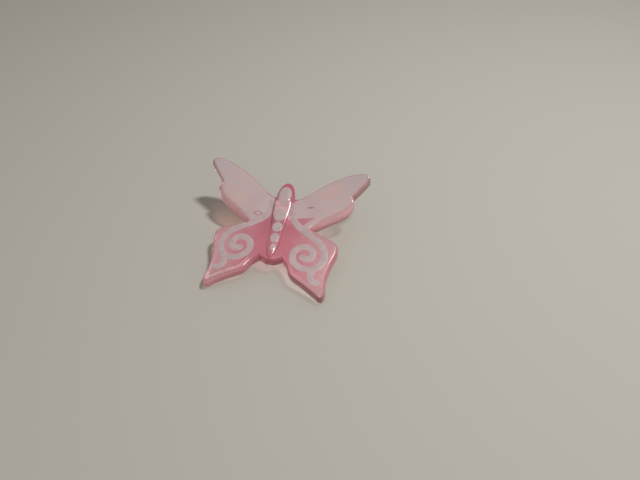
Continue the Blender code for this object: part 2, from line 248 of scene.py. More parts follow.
# The hindwings' inner parts lie behind a line that runs back this much for each length across.
INNER_SLANT = 0.77
INNER_AHEAD = (-0.0115, -0.0100)
WALL_SLOPE = (0.2, 0.7)
WALL_ACROSS = (0.002, 0.006)
END_AHEAD = (0.0003, 0.0013)
SHADE_SIDE = (-0.003, 0.001)
FOOT_UPPER_SLOPE = (-0.4, -0.05)
FOOT_LOWER_SLOPE = (-0.98, -0.85)
FOOT_STRENGTH = 0.85
GRAIN_SCALE = 4000.0
GRAIN_TONES = (0.92, 1.08)
# The left hindwing's frosted part, which is also where the painted highlight of pale specks lies, and
# the specks' span inwards from the outline.
FROST_AND_GLINT_SIDE = (-0.005, -0.003)
FROST_AND_GLINT_AHEAD = (-0.010, -0.008)
GLINT_START_INSET = (0.55, 0.75)
GLINT_END_INSET = (0.9, 1.2)
SPECK_SCALE = 5200.0
SPECK_SPAN = (0.42, 0.62)
SPECK_STRENGTHS = (0.2, 0.85)
DIMPLE_SCALE = 420.0
FINE_SCALE = 3600.0
FINE_HEIGHTS = (0.12, 0.5)
LEVEL_SLOPE = (0.75, 0.97)
LEFT_TIP_SIDE = (-0.0150, -0.0110)
LEFT_TIP_STRENGTH = 0.75
DIM_LEFT_SIDE = (-0.0115, -0.0095)
DIM_AHEAD = (-0.0085, -0.006)
DIM_RIGHT_SIDE = (-0.001, 0.003)
DIM_RIGHT = 0.15

# The ink's colours, and the marks in the forewings' film: a window and a dash.
INK_SHADE = (0.44, 0.325, 0.32)
INK_LIGHT = (0.50, 0.38, 0.372)
VEIL_SHADE = (0.57, 0.435, 0.395)
VEIL_LIGHT = (0.495, 0.405, 0.402)
VEIL_MARK = (0.36, 0.12, 0.14)
WINDOW_PLACE = (-0.00464, -0.00455)
WINDOW_HALF = (0.00095, 0.00060)
DASH_PLACE = (0.0054, -0.0020)
DASH_TURN = radians(10)
DASH_HALF = (0.00075, 0.00016)
DASH_EDGE = (0.6, 1.2)
WINDOW_LINE = 0.9
WINDOW_LINE_EDGE = (0.1, 0.3)
WINDOW_STRENGTH = 0.7
# The film's streaks spread from a centre, so many to the radian and to the metre. STREAK_SIDES makes
# left and right unlike.
STREAK_CENTRE = (0.0015, -0.0035)
STREAKS_ROUND = 9.0
STREAKS_OUT = 90.0
STREAK_SIDES = 3.7
STREAK_SPAN = (0.38, 0.60)
ROOT_REACH = (0.003, 0.0075)
TIP_REACH = (0.009, 0.013)
VEIL_ALPHAS = (0.76, 0.9)

# The teat, the table, and the light.
RUBBER_DEEP = (0.80, 0.66, 0.60)
RUBBER_PALE = (0.88, 0.76, 0.70)
TABLE_COLOUR = (0.455, 0.43, 0.375)
FLOOR_REACH = 2.0
KEY_COURSE = (0.44, 0.11, 1.0)
KEY_DISTANCE = 0.3
KEY_WIDTH = 0.028
KEY_HEIGHT = 0.042
KEY_POWER = 0.605
ROOM_LIGHT = 0.35

# The camera, at the photograph's angle.
CAMERA_PLACE = (0.02190, -0.07252, 0.07500)
CAMERA_COURSE = (-0.133, 0.7061, -0.6959)
CAMERA_LENS = 30.375


# Plane curves


def smooth(points, steps=EDGE_STEPS):
    """A smooth curve through the points, with this many steps from each one to the next."""
    points = [Vector((point[0], point[1], 0)) for point in points]
    ends = [points[0], *points, points[-1]]
    courses = [(after - before).normalized() for before, after in zip(ends, ends[2:])]
    curve = []
    for start, end, leaving, arriving in zip(points, points[1:], courses, courses[1:]):
        reach = (end - start).length / 3
        stretch = interpolate_bezier(
            start, start + leaving * reach, end - arriving * reach, end, steps + 1
        )
        curve += [point.xy for point in stretch[:-1]]
    return [*curve, points[-1].xy]


def bowed(start, end, bow):
    """The points of an edge from start up to end, bowed to the left of its direction."""
    start, end = Vector(start), Vector(end)
    along = end - start
    left = Vector((-along.y, along.x)).normalized()
    return [start] + [start + along * share + left * distance for share, distance in bow]


def beside(line, distance):
    """The curve this far to the right of a line, without the points that a tight bend crowds."""
    ends = [line[0], *line, line[-1]]
    moved = []
    for before, point, after in zip(ends, line, ends[2:]):
        along = (after - before).normalized()
        moved.append(point + Vector((along.y, -along.x)) * distance)
    nearest = CROWDING * abs(distance)
    return [point for point in moved if min((point - other).length for other in line) > nearest]


def fore_edges():
    """The right forewing's edge from its root to its notch, and from there to the junction."""
    ahead = bowed(WING_ROOT, FOREWING_TIP, LEADING_BOW)
    outer = bowed(FOREWING_TIP, FOREWING_NOTCH, OUTER_BOW)
    behind = bowed(FOREWING_NOTCH, WING_JUNCTION, TRAILING_BOW)
    return smooth([*ahead, *outer, FOREWING_NOTCH]), smooth([*behind, WING_JUNCTION])


def hind_edges():
    """The right hindwing's edge from the junction to the tail notch, and the half tail."""
    shoulder = bowed(WING_JUNCTION, HINDWING_SHOULDER, SHOULDER_BOW)
    outer = bowed(HINDWING_SHOULDER, HINDWING_TIP, HIND_OUTER_BOW)
    inner = bowed(HINDWING_TIP, TAIL_NOTCH, HIND_INNER_BOW)
    tail = bowed(TAIL_NOTCH, TAIL_END, TAIL_BOW)
    return smooth([*shoulder, *outer, *inner, TAIL_NOTCH]), smooth([*tail, TAIL_END])


def plate_outline():
    lead, trail = fore_edges()
    hind, tail = hind_edges()
    right = lead[:-1] + trail[:-1] + hind[:-1] + tail
    left = [Vector((-point.x, point.y)) for point in reversed(right[:-1])]
    return right + left


def scroll_line():
    """The scroll's centre line: a stem from the wing's root that winds into a spiral."""
    centre = Vector(SCROLL_CENTRE)
    turns = []
    for step in range(SPIRAL_STEPS + 1):
        share = step / SPIRAL_STEPS
        angle = SCROLL_START - SCROLL_TURN * share
        spread = (SCROLL_OUTER_RADIUS - SCROLL_INNER_RADIUS) * (1 - share) ** SCROLL_TIGHTENING
        radius = SCROLL_INNER_RADIUS + spread
        turns.append(centre + radius * Vector((cos(angle), sin(angle))))
    return smooth([*SCROLL_STEM, *turns])


def ribbon(line, width):
    """The outline of a band of this width along a line, with round ends."""
    left, right = beside(line, -width / 2), beside(line, width / 2)
    far, near = round_end(line[-2], line[-1], width), round_end(line[1], line[0], width)
    return left + far + right[::-1] + near


def round_end(before, end, width):
    """The points of the half circle that closes a band past its end."""
    along = (end - before).normalized()
    start = atan2(along.x, -along.y)
    angles = [start - pi * step / END_STEPS for step in range(1, END_STEPS)]
    return [end + width / 2 * Vector((cos(angle), sin(angle))) for angle in angles]


def placed(points, side, shift=(0.0, 0.0)):
    """A shape drawn for the right wing, moved by a shift and put on the wing of a side."""
    return [(side * (x + shift[0]), y + shift[1]) for x, y in points]


# Solids in the flat frame


def link(name, mesh):
    made = bpy.data.objects.new(name, mesh)
    bpy.context.scene.collection.objects.link(made)
    return made


def baked(thing):
    """Replaces an object by the plain mesh that its curve or its modifiers make."""
    bpy.context.view_layer.update()
    evaluated = thing.evaluated_get(bpy.context.evaluated_depsgraph_get())
    mesh = bpy.data.meshes.new_from_object(evaluated)
    name = thing.name
    bpy.data.objects.remove(thing)
    weld(mesh)
    return link(name, mesh)


def weld(mesh):
    shape = bmesh.new()
    shape.from_mesh(mesh)
    bmesh.ops.remove_doubles(shape, verts=shape.verts, dist=MERGE)
    bmesh.ops.recalc_face_normals(shape, faces=shape.faces)
    shape.to_mesh(mesh)
    shape.free()


def slab(name, outline, low, high, rim=0.0):
    """A flat outline as a solid between two heights, its rims rounded where rim is given."""
    curve = bpy.data.curves.new(name, "CURVE")
    curve.dimensions = "2D"
    curve.fill_mode = "BOTH"
    curve.extrude = (high - low) / 2 - rim
    curve.bevel_depth = rim
    curve.offset = -rim
    curve.bevel_resolution = RIM_STEPS
    spline = curve.splines.new("POLY")
    spline.points.add(len(outline) - 1)
    for target, point in zip(spline.points, outline):
        target.co = (point[0], point[1], 0.0, 1.0)
    spline.use_cyclic_u = True
    made = baked(link(name, curve))
    made.data.transform(Matrix.Translation((0, 0, (high + low) / 2)))
    return made


def turned(name, profile):
    """A solid turned about the teat's axis, from (height, radius) pairs that run downwards."""
    mesh = bpy.data.meshes.new(name)
    points = [(radius, 0.0, height) for height, radius in profile]
    mesh.from_pydata(points, [(n, n + 1) for n in range(len(points) - 1)], [])
    made = link(name, mesh)
    screw = made.modifiers.new("turn", "SCREW")
    screw.steps = screw.render_steps = ROUND_STEPS
    screw.use_merge_vertices = True
    screw.merge_threshold = MERGE
    made = baked(made)
    made.data.transform(Matrix.Translation((0, TEAT_AHEAD, 0)))
    return made


def body_solid(name):
    """The body as sections across Y: a round head, a flat thorax and a ridged tail."""
    sections = []
    for along, half in smooth(BODY_PROFILE, PROFILE_STEPS):
        power, height = at_station(BODY_SECTIONS, along)
        ring = []
        for step in range(BODY_STEPS):
            angle = 2 * pi * step / BODY_STEPS
            course = (cos(angle), sin(angle))
            x, z = (copysign(abs(value) ** (2 / power), value) for value in course)
            ring.append((half * x, along, height * half * z))
        sections.append(ring)
    faces = []
    for row in range(0, (len(sections) - 1) * BODY_STEPS, BODY_STEPS):
        for step in range(BODY_STEPS):
            here, beyond = row + step, row + (step + 1) % BODY_STEPS
            faces.append((here, beyond, beyond + BODY_STEPS, here + BODY_STEPS))
    mesh = bpy.data.meshes.new(name)
    mesh.from_pydata([point for ring in sections for point in ring], [], faces)
    weld(mesh)
    return link(name, mesh)


def at_station(stations, along):
    """The values at a place between the stations of a list, which run towards the tail."""
    for (start, *first), (end, *second) in zip(stations, stations[1:]):
        if along >= end:
            share = clamped((start - along) / (start - end))
            return [one + (two - one) * share for one, two in zip(first, second)]
    return stations[-1][1:]


def clamped(share):
    return min(1.0, max(0.0, share))


def cut(thing, cutter, operation="DIFFERENCE"):
    """Cuts or joins two plain meshes now, and removes the second."""
    boolean = thing.modifiers.new(operation.lower(), "BOOLEAN")
    boolean.operation = operation
    boolean.object = cutter
    thing = baked(thing)
    bpy.data.objects.remove(cutter)
    return thing


def rise(x, y):
    """The height of the dished plate's upper face."""
    across, along = abs(x), y - DISH_LOW_LINE
    return (
        RISE_SLOPE * across + across**2 / SPAN_BEND
        + along**2 / LENGTH_BEND + across * along / TWIST_BEND
    )


def bend(thing):
    """Divides a flat solid by a grid, and moves every point up or down with the dished plate."""
    shape = bmesh.new()
    shape.from_mesh(thing.data)
    divide(shape, GRID_STEP)
    for vertex in shape.verts:
        vertex.co.z += rise(vertex.co.x, vertex.co.y)
    bmesh.ops.remove_doubles(shape, verts=shape.verts, dist=MERGE)
    shape.to_mesh(thing.data)
    shape.free()
    return thing


def divide(shape, step):
    """Cuts the faces along the lines of a square grid across X and Y."""
    for axis in (0, 1):
        values = [vertex.co[axis] for vertex in shape.verts]
        for line in range(round(min(values) / step), round(max(values) / step) + 1):
            spot, normal = Vector(), Vector()
            spot[axis], normal[axis] = line * step, 1
            everything = shape.verts[:] + shape.edges[:] + shape.faces[:]
            bmesh.ops.bisect_plane(
                shape, geom=everything, plane_co=spot, plane_no=normal, dist=MERGE
            )


# The resting pose


def boss_rim():
    """The height of the socket's open end, in the flat frame."""
    return rise(0, TEAT_AHEAD) - PLATE_THICKNESS - BOSS_HEIGHT


def rest_lean():
    """The lean at which the teat's round end and the hindwing tips touch one plane."""
    centre_z = boss_rim() - TEAT_REACH + BULB_RADIUS
    tip_y = HINDWING_TIP[1]
    tip_z = rise(*HINDWING_TIP) - PLATE_THICKNESS
    distance = hypot(TEAT_AHEAD - tip_y, centre_z - tip_z)
    return asin(BULB_RADIUS / distance) - atan2(centre_z - tip_z, TEAT_AHEAD - tip_y)


def resting(teat_piece):
    """The matrix from the flat frame to the resting pose, with the teat where the CAD has it."""
    lean = Matrix.Rotation(rest_lean(), 4, "X")
    corners = [lean @ vertex.co for vertex in teat_piece.data.vertices]
    shift = []
    for axis, (low, high) in enumerate(zip(*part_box("teat"))):
        values = [corner[axis] for corner in corners]
        shift.append((low + high - min(values) - max(values)) / 2)
    return Matrix.Translation(shift) @ lean


# The pieces


def square(half):
    return [(-half, -half), (half, -half), (half, half), (-half, half)]


def bar(name, radius, low, high):
    """A round bar along the teat's axis."""
    return turned(name, [(high, 0.0), (high, radius), (low, radius), (low, 0.0)])


def shield():
    """Plate, body and socket, moulded in one piece with soft inner corners."""
    plate = bend(slab("shield", plate_outline(), -PLATE_THICKNESS, 0, RIM_RADIUS))
    floor = slab("body_floor", square(CUTTER_REACH), -CUTTER_DEPTH, BODY_FLOOR - PLATE_THICKNESS)
    body = bend(cut(body_solid("body"), floor))
    boss = bar("boss", BOSS_RADIUS, boss_rim(), rise(0, TEAT_AHEAD) - PLATE_THICKNESS / 2)
    plate = joined(plate, body, boss)
    remesh = plate.modifiers.new("remesh", "REMESH")
    remesh.mode = "VOXEL"
    remesh.voxel_size = VOXEL
    soften = plate.modifiers.new("soften", "SMOOTH")
    soften.factor = 0.5
    soften.iterations = SOFTENING_ROUNDS
    plate = baked(plate)
    round_over(plate)
    rim = boss_rim()
    bore = bar("bore", STEM_RADIUS + STEM_CLEARANCE, rim - PLATE_THICKNESS, rim + BORE_DEPTH)
    return cut(plate, bore)


def round_over(thing):
    """Lets the plate's upper face fall away in a wide round towards its edge, and lowers the wall.

    The mesh keeps how far every point lies from the plate's outline, for the material.
    """
    outline = plate_outline()
    border = KDTree(len(outline) * EDGE_STEPS)
    for number, (here, there) in enumerate(zip(outline, outline[1:] + outline[:1])):
        for step in range(EDGE_STEPS):
            border.insert(here.lerp(there, step / EDGE_STEPS).to_3d(), number * EDGE_STEPS + step)
    border.balance()
    notes = thing.data.attributes.new("inset", "FLOAT", "POINT")
    for vertex, note in zip(thing.data.vertices, notes.data):
        x, y, z = vertex.co
        _, number, inset = border.find((x, y, 0))
        note.value = inset / INSET_UNIT
        number //= EDGE_STEPS
        along = (outline[(number + 1) % len(outline)] - outline[number]).normalized()
        width = round_width(y, -along.x)
        height = z - rise(x, y)
        if inset >= width or height > BODY_FOOT or height < -PLATE_THICKNESS:
            continue
        drop = width - (width**2 - (width - inset) ** 2) ** 0.5
        drop *= min(1.0, (BODY_FOOT - height) / BODY_FOOT)
        vertex.co.z -= drop * (height + PLATE_THICKNESS) / PLATE_THICKNESS


def round_width(ahead, frontness):
    """The width of the round at a place, by how far its edge looks away from the head."""
    share = clamped((ahead - HIND_START) / (FORE_START - HIND_START))
    widest = HIND_ROUND + (FORE_ROUND - HIND_ROUND) * share
    front = clamped(frontness / FRONT_SHARE) * clamped(1 - ahead / FOREWING_NOTCH[1])
    return SIDE_ROUND + (widest - SIDE_ROUND) * front


def joined(thing, *others):
    """One object of the first one's name that holds the meshes of all."""
    shape = bmesh.new()
    for piece in (thing, *others):
        shape.from_mesh(piece.data)
    shape.to_mesh(thing.data)
    shape.free()
    for piece in others:
        bpy.data.objects.remove(piece)
    return thing


def teat():
    """Stem, neck and bulb, turned about the socket's axis."""
    rim = boss_rim()
    tip = rim - TEAT_REACH
    centre = tip + BULB_RADIUS
    angles = [BULB_START + (pi - BULB_START) * step / BULB_STEPS for step in range(BULB_STEPS)]
    bulb = [(centre + BULB_RADIUS * cos(angle), BULB_RADIUS * sin(angle)) for angle in angles]
    stem = [(rim + STEM_LENGTH, 0.0), (rim + STEM_LENGTH, STEM_RADIUS), (rim, STEM_RADIUS)]
    neck = [(rim - NECK_DROP, NECK_RADIUS)]
    return turned("soft_teat", [*stem, *neck, *bulb, (tip, 0.0)])


def film(name, outline, ground, thickness, holes=(), extra=(), step=FILM_STEP):
    """A thin printed film that follows the shield under it, with a soft edge."""
    made = slab(name, outline, -CUTTER_DEPTH, CUTTER_DEPTH)
    for hole in holes:
        made = cut(made, slab("hole", hole, -2 * CUTTER_DEPTH, 2 * CUTTER_DEPTH))
    for piece in extra:
        made = cut(made, slab("extra", piece, -CUTTER_DEPTH, CUTTER_DEPTH), "UNION")
    return draped(made, ground, thickness, step)


def draped(thing, ground, thickness, step):
    """Lays a slab on the shield: its upper face becomes a film of this thickness."""
    shape = bmesh.new()
    shape.from_mesh(thing.data)
    level = CUTTER_DEPTH - MERGE
    unwanted = [face for face in shape.faces if face.calc_center_median().z < level]
    bmesh.ops.delete(shape, geom=unwanted, context="FACES")
    bmesh.ops.dissolve_limit(shape, angle_limit=0.001, verts=shape.verts[:], edges=shape.edges[:])
    divide(shape, step)
    shape.verts.index_update()
    border = KDTree(len(shape.verts))
    for vertex in shape.verts:
        if vertex.is_boundary:
            border.insert(vertex.co, vertex.index)
    border.balance()
    inside = [min(1.0, border.find(vertex.co)[2] / EDGE_WIDTH) for vertex in shape.verts]
    for vertex, share in zip(shape.verts, inside):
        spot, normal = on_shield(ground, vertex.co)
        vertex.co = spot + normal * thickness * (EDGE_SHARE + (1 - EDGE_SHARE) * share)
    ring = [edge for edge in shape.edges if edge.is_boundary]
    made = bmesh.ops.extrude_edge_only(shape, edges=ring)
    for vertex in [item for item in made["geom"] if isinstance(item, bmesh.types.BMVert)]:
        spot, normal = on_shield(ground, vertex.co)
        vertex.co = spot - normal * FILM_SINK
    bmesh.ops.recalc_face_normals(shape, faces=shape.faces)
    shape.to_mesh(thing.data)
    shape.free()
    return thing


def on_shield(ground, place):
    """The point of the shield's upper side over a place, and the normal there."""
    start = Vector((place.x, place.y, CUTTER_DEPTH))
    spot, normal, _, _ = ground.ray_cast(start, Vector((0, 0, -1)))
    if spot is None:
        spot, normal, _, _ = ground.find_nearest(place)
    return spot, normal


def oval(across, ahead, half_width, half_length):
    angles = [2 * pi * step / OVAL_STEPS for step in range(OVAL_STEPS)]
    return [(across + half_width * cos(turn), ahead + half_length * sin(turn)) for turn in angles]


def forewing_outline(side, shift):
    """The forewing's print, with a clear margin, up to the scroll's stem."""
    lead, trail = fore_edges()
    front = beside(lead[FILM_LEAD_START:], LEADING_MARGIN)
    back = beside(trail[:-EDGE_STEPS], TRAILING_MARGIN)
    stem = placed(smooth(SCROLL_STEM)[FILM_STEM_STRETCH], 1, shift)
    return placed(front + back + stem[::-1] + smooth(FILM_ROOT), side)


def prints(ground):
    """The white print, as (object, material, CAD nodes)."""
    made = []
    wings = [("left", -1, LEFT_PRINT_SHIFT, []), ("right", 1, RIGHT_PRINT_SHIFT, [RIGHT_WINDOW])]
    line = scroll_line()
    lap = line[UNDER_SCROLL_START:]
    for label, side, shift, windows in wings:
        scroll = placed(ribbon(line, SCROLL_WIDTH), side, shift)
        hook = placed(ribbon(smooth(SCROLL_HOOK), SCROLL_WIDTH), side, shift)
        under = placed(ribbon(lap, SCROLL_WIDTH - FILM_LAP), side, shift)
        veil = film(
            f"{label}_wing_film", forewing_outline(side, shift), ground, VEIL_THICKNESS,
            holes=[under] + [placed(hole, side) for hole in windows],
        )
        made.append((veil, "veil", [f"{label}_forewing_print"]))
        band = film(f"{label}_scroll", scroll, ground, BAND_THICKNESS, extra=[hook])
        made.append((band, "white", [f"{label}_hindwing_print"]))
    for name, *place in BODY_PRINTS:
        spot = film(f"{name}_film", oval(*place), ground, BAND_THICKNESS, step=SPOT_STEP)
        made.append((spot, "white", [name]))
    return made


# Materials


class Nodes:
    """Short calls to build a material's nodes."""

    def __init__(self, name):
        self.material = bpy.data.materials.new(name)
        self.material.use_nodes = True
        self.tree = self.material.node_tree
        self.shader = self.tree.nodes["Principled BSDF"]
        self.output = self.tree.nodes["Material Output"]

    def add(self, kind, *values, **settings):
        node = self.tree.nodes.new("ShaderNode" + kind)
        for key, value in settings.items():
            setattr(node, key, value)
        for socket, value in zip(node.inputs, values):
            self.put(socket, value)
        return node

    def put(self, socket, value):
        if isinstance(value, bpy.types.NodeSocket):
            self.tree.links.new(value, socket)
        else:
            socket.default_value = value

    def maths(self, operation, *values):
        return self.add("Math", *values, operation=operation).outputs[0]

    def times(self, first, second, *others):
        """The product of two or more values."""
        product = self.maths("MULTIPLY", first, second)
        return self.times(product, *others) if others else product

    def weighed(self, first, weight, second, other_weight):
        """The sum of two values, each times its weight."""
        return self.maths("MULTIPLY_ADD", first, weight, self.times(second, other_weight))

    def length(self, x, y):
        return self.maths("SQRT", self.weighed(x, x, y, y))

    def spread(self, value, span, results):
        """Smoothly maps a span of values onto another."""
        node = self.add(
            "MapRange", value, *span, *results, interpolation_type="SMOOTHSTEP", clamp=True
        )
        return node.outputs[0]

    def grow(self, value, span, full=1.0):
        """0 before a span of values, and full after it."""
        return self.spread(value, span, (0.0, full))

    def fade(self, value, span, full=1.0):
        """Full before a span of values, and 0 after it."""
        return self.spread(value, span, (full, 0.0))

    def noise(self, vector, scale, detail=2.0):
        node = self.add("TexNoise")
        self.put(node.inputs["Vector"], vector)
        self.put(node.inputs["Scale"], scale)
        self.put(node.inputs["Detail"], detail)
        return node.outputs["Fac"]

    def aside(self, x, y, place, half, turn=0.0):
        """How far x and y lie from a place along two crossed axes, in half lengths."""
        x, y = self.maths("SUBTRACT", x, place[0]), self.maths("SUBTRACT", y, place[1])
        along = self.weighed(x, cos(turn) / half[0], y, sin(turn) / half[0])
        over = self.weighed(y, cos(turn) / half[1], x, -sin(turn) / half[1])
        return along, over

    def egg(self, x, y, place, half, turn):
        """1 on the edge of an ellipse, less inside."""
        return self.length(*self.aside(x, y, place, half, turn))

    def lozenge(self, x, y, place, half):
        """1 on the edge of a lozenge, less inside."""
        along, over = self.aside(x, y, place, half)
        return self.maths("ADD", self.maths("ABSOLUTE", along), self.maths("ABSOLUTE", over))

    def mix(self, share, *colours):
        """The first colour where the share is 0, the second where it is 1."""
        node = self.add("Mix", data_type="RGBA")
        self.put(node.inputs[0], share)
        sockets = [socket for socket in node.inputs if socket.type == "RGBA"]
        for socket, colour in zip(sockets, colours):
            linked = isinstance(colour, bpy.types.NodeSocket)
            self.put(socket, colour if linked else (*colour, 1.0))
        return [socket for socket in node.outputs if socket.type == "RGBA"][0]

    def scaled(self, colour, factor):
        node = self.add("VectorMath", operation="SCALE")
        self.put(node.inputs[0], colour)
        self.put(node.inputs["Scale"], factor)
        return node.outputs[0]

    def bump(self, height, distance, strength):
        node = self.add("Bump")
        self.put(node.inputs["Strength"], strength)
        self.put(node.inputs["Distance"], distance)
        self.put(node.inputs["Height"], height)
        self.put(self.shader.inputs["Normal"], node.outputs[0])

    def let_lamps_through(self, tint):
        """Shadow rays pass the surface, tinted."""
        clear = self.add("BsdfTransparent", tint)
        shadow = self.add("LightPath").outputs["Is Shadow Ray"]
        mixed = self.add("MixShader", shadow, self.shader.outputs[0], clear.outputs[0])
        self.tree.links.new(mixed.outputs[0], self.output.inputs["Surface"])

    def set(self, **values):
        for name, value in values.items():
            self.put(self.shader.inputs[name.replace("_", " ")], value)


def place_of(nodes, rest):
    """Across, ahead and the whole place in the flat frame."""
    back = rest.inverted()
    flat = nodes.add("Mapping", nodes.add("TexCoord").outputs["Object"])
    flat.inputs["Location"].default_value = back.translation
    flat.inputs["Rotation"].default_value = back.to_euler()
    parts = nodes.add("SeparateXYZ", flat.outputs[0])
    return parts.outputs[0], parts.outputs[1], flat.outputs[0]


def plastic_places(nodes, rest):
    """What the tones go by: the place on the shield, the slope, and the parts of the hindwings."""
    side, ahead, vector = place_of(nodes, rest)
    across = nodes.maths("ABSOLUTE", side)
    slope = nodes.add("SeparateXYZ", nodes.add("NewGeometry").outputs["Normal"]).outputs[2]
    hind = nodes.fade(ahead, HIND_AHEAD)
    inner = nodes.fade(nodes.maths("MULTIPLY_ADD", across, INNER_SLANT, ahead), INNER_AHEAD)
    return SimpleNamespace(
        side=side, ahead=ahead, vector=vector, across=across,
        inset=nodes.add("Attribute", attribute_name="inset").outputs["Fac"],
        slope=slope, upright=nodes.maths("ABSOLUTE", slope),
        hind=hind, inner=inner, outer=nodes.times(hind, nodes.maths("SUBTRACT", 1.0, inner)),
        frosted_and_glinting=nodes.times(nodes.fade(side, FROST_AND_GLINT_SIDE), nodes.fade(ahead, FROST_AND_GLINT_AHEAD)),
    )


def face_tones(nodes, at):
    """The face: deep by the body, partly painted shade, and paler outwards, with painted reflections,
    painted light and painted shade along the edges and on the thorax.
    """
    # The deeper tone by the body is partly painted shade of the socket and teat under the clear
    # plate.
    cloud = nodes.noise(at.vector, CLOUD_SCALE)
    shift = nodes.spread(cloud, NOISE_SPAN, (-CLOUD_SHIFT, CLOUD_SHIFT))
    pale = nodes.grow(nodes.maths("ADD", at.across, shift), PALE_ACROSS)
    colour = nodes.mix(pale, PLASTIC_DEEP, PLASTIC_PALE)
    # Painted reflection: a pale band just inside the rounded rim.
    rim = nodes.times(
        nodes.grow(at.inset, RIM_START_INSET), nodes.fade(at.inset, RIM_END_INSET),
        nodes.grow(at.across, RIM_ACROSS, RIM_STRENGTH),
    )
    # Painted light: the forewings' rounded edges made paler where they would render shaded.
    edge = nodes.times(
        nodes.fade(at.inset, EDGE_INSET, EDGE_STRENGTH), nodes.grow(at.ahead, EDGE_AHEAD),
        nodes.grow(at.across, EDGE_ACROSS),
    )
    # Painted reflection: the flat thorax made paler, as if it mirrored the room's light.
    thorax = nodes.times(
        nodes.fade(at.across, THORAX_ACROSS), nodes.grow(at.ahead, THORAX_START_AHEAD),
        nodes.fade(at.ahead, THORAX_END_AHEAD),
    )
    head = nodes.times(
        nodes.grow(at.ahead, HEAD_AHEAD, HEAD_STRENGTH), nodes.fade(at.across, HEAD_ACROSS)
    )
    tones = [
        (rim, PLASTIC_RIM_REFLECTION),
        # Painted shade: the hindwing tips darker and mauve, as the shade under the clear plate seen
        # through them.
        (nodes.fade(at.ahead, TIP_AHEAD, TIP_STRENGTH), PLASTIC_TIP_SHADE),
        (edge, PLASTIC_EDGE_LIGHT),
        (nodes.times(at.outer, nodes.fade(at.inset, OUTER_INSET, OUTER_STRENGTH)), PLASTIC_OUTER),
        (thorax, PLASTIC_THORAX_REFLECTION),
        (head, PLASTIC_HEAD),
    ]
    for share, tone in tones:
        colour = nodes.mix(share, colour, tone)
    return colour


def wall_tones(nodes, at, colour):
    """The walls over the face's colour, with a painted glow and painted shade, and painted shade on
    the downward-facing lower rim.
    """
    wall = nodes.times(nodes.fade(at.upright, WALL_SLOPE), nodes.grow(at.across, WALL_ACROSS))
    # Painted glow: the walls paler than the face, standing in for light carried through the plastic;
    # near the forewings' outer ends (END) they are darker.
    tone = nodes.mix(at.hind, PLASTIC_WALL_GLOW, nodes.mix(at.outer, PLASTIC_SIDE_GLOW, PLASTIC_OUTER))
    tone = nodes.mix(nodes.grow(at.ahead, END_AHEAD), tone, PLASTIC_END)
    # Painted shade: the right hindwing's inner wall, which faces away from the lamp, darker.
    shade = nodes.times(at.inner, nodes.grow(at.side, SHADE_SIDE))
    colour = nodes.mix(wall, colour, nodes.mix(shade, tone, PLASTIC_SHADE))
    # Painted shade: the downward-facing lower rim darker, as the contact shade by the table.
    foot_shade = nodes.times(
        nodes.fade(at.slope, FOOT_UPPER_SLOPE, FOOT_STRENGTH),
        nodes.grow(at.slope, FOOT_LOWER_SLOPE),
    )
    return nodes.mix(foot_shade, colour, PLASTIC_FOOT_SHADE)


def grain_and_glints(nodes, at, colour):
    """A fine grain, and a painted highlight: a line of pale specks along the left hindwing's inner
    edge.
    """
    grain = nodes.noise(at.vector, GRAIN_SCALE, 1.0)
    colour = nodes.scaled(colour, nodes.spread(grain, NOISE_SPAN, GRAIN_TONES))
    specks = nodes.spread(nodes.noise(at.vector, SPECK_SCALE, 1.0), SPECK_SPAN, SPECK_STRENGTHS)
    # Painted highlight: pale specks along the left hindwing's inner edge.
    glints = nodes.times(
        nodes.grow(at.inset, GLINT_START_INSET), nodes.fade(at.inset, GLINT_END_INSET),
        at.inner, at.frosted_and_glinting, specks,
    )
    return nodes.mix(glints, colour, PLASTIC_GLINT)


def lamp_tint(nodes, at):
    """What the plastic leaves of a lamp's light: most of it at the tail and on the right."""
    level = nodes.grow(at.upright, LEVEL_SLOPE)
    left_tip = nodes.fade(at.side, LEFT_TIP_SIDE, LEFT_TIP_STRENGTH)
    dim = nodes.mix(level, RIM_SHADOW, nodes.mix(left_tip, FLAT_SHADOW, RIM_SHADOW))
    bright = nodes.mix(level, TAIL_RIM_SHADOW, TAIL_SHADOW)
    dim_parts = nodes.maths(
        "MAXIMUM", nodes.fade(at.side, DIM_LEFT_SIDE), nodes.grow(at.ahead, DIM_AHEAD)
    )
    share = nodes.times(dim_parts, nodes.spread(at.side, DIM_RIGHT_SIDE, (1.0, DIM_RIGHT)))
    return nodes.mix(share, bright, dim)


def clear_plastic(rest):
    """Tinted plastic with painted tones, painted light and shade among them, which lamps pass as
    lamp_tint says.
    """
    nodes = Nodes("tinted_clear_plastic")
    at = plastic_places(nodes, rest)
    colour = grain_and_glints(nodes, at, wall_tones(nodes, at, face_tones(nodes, at)))
    nodes.set(Base_Color=colour, Roughness=0.24, IOR=1.49, Transmission_Weight=PLASTIC_CLEARNESS)
    nodes.set(Coat_Weight=0.4, Coat_Roughness=0.2)
    roughening = nodes.spread(at.frosted_and_glinting, (0.0, 1.0), FINE_HEIGHTS)
    fine = nodes.times(nodes.noise(at.vector, FINE_SCALE, 1.0), roughening)
    height = nodes.maths("ADD", nodes.noise(at.vector, DIMPLE_SCALE, 1.0), fine)
    nodes.bump(height, distance=0.00003, strength=0.3)
    absorb = nodes.add("VolumeAbsorption")
    nodes.put(absorb.inputs["Color"], (*PLASTIC_TINT, 1.0))
    nodes.put(absorb.inputs["Density"], PLASTIC_DENSITY)
    nodes.tree.links.new(absorb.outputs[0], nodes.output.inputs["Volume"])
    nodes.let_lamps_through(lamp_tint(nodes, at))
    return nodes.material


